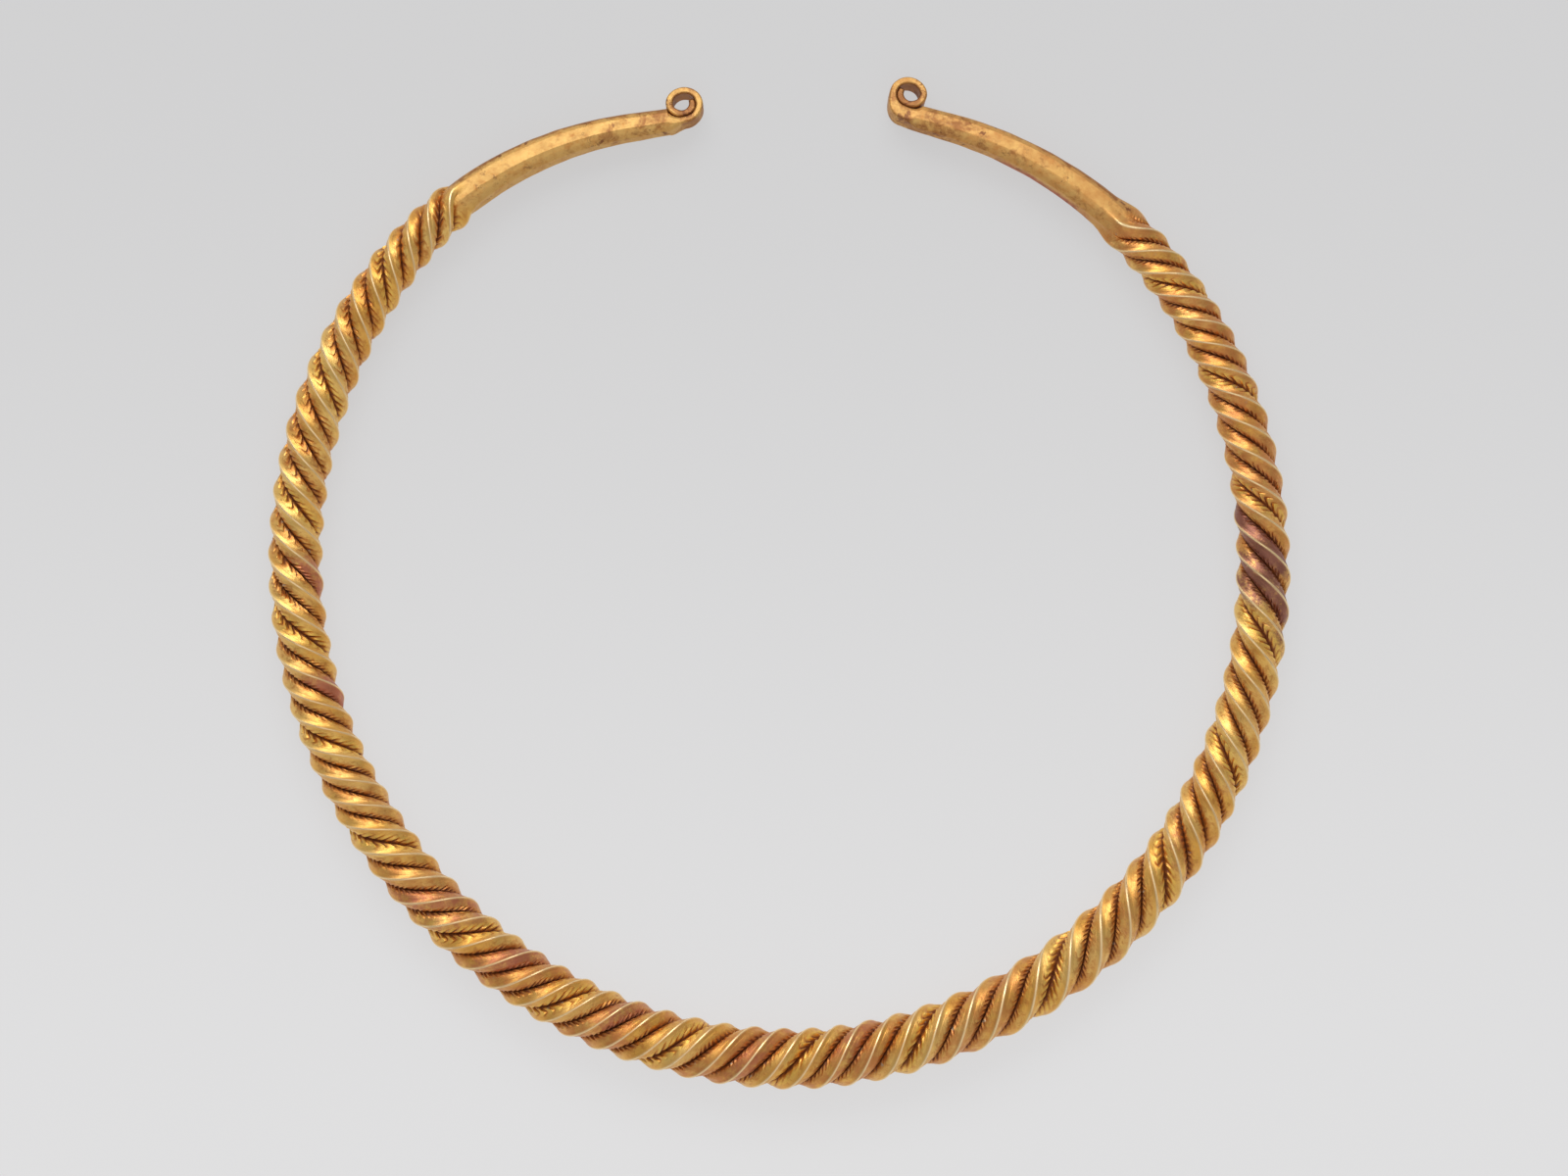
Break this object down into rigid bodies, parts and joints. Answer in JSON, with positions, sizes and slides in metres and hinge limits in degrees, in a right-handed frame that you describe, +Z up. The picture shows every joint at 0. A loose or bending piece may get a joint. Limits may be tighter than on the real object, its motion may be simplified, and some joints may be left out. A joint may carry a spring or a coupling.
{
  "type": "twisted neck ring",
  "caption": "Open neck ring of gold alloy: a ridged bar twisted left-handed and bent round, with plain eight-sided ends whose tips curl into small eyes for a tie.",
  "frame": {"origin": "middle of the bounding box, on the surface the torc lies on", "axes": "+X across the ring toward the torc's right end, +Y toward the opening between the eyes, +Z up, out of the ring's plane"},
  "size_m": [0.1598, 0.1584, 0.0095],
  "materials": {
    "gold": "burnished old gold with reddish patina and dark grooves"
  },
  "bodies": {
    "root": {"torc": "gold"}
  },
  "joints": []
}
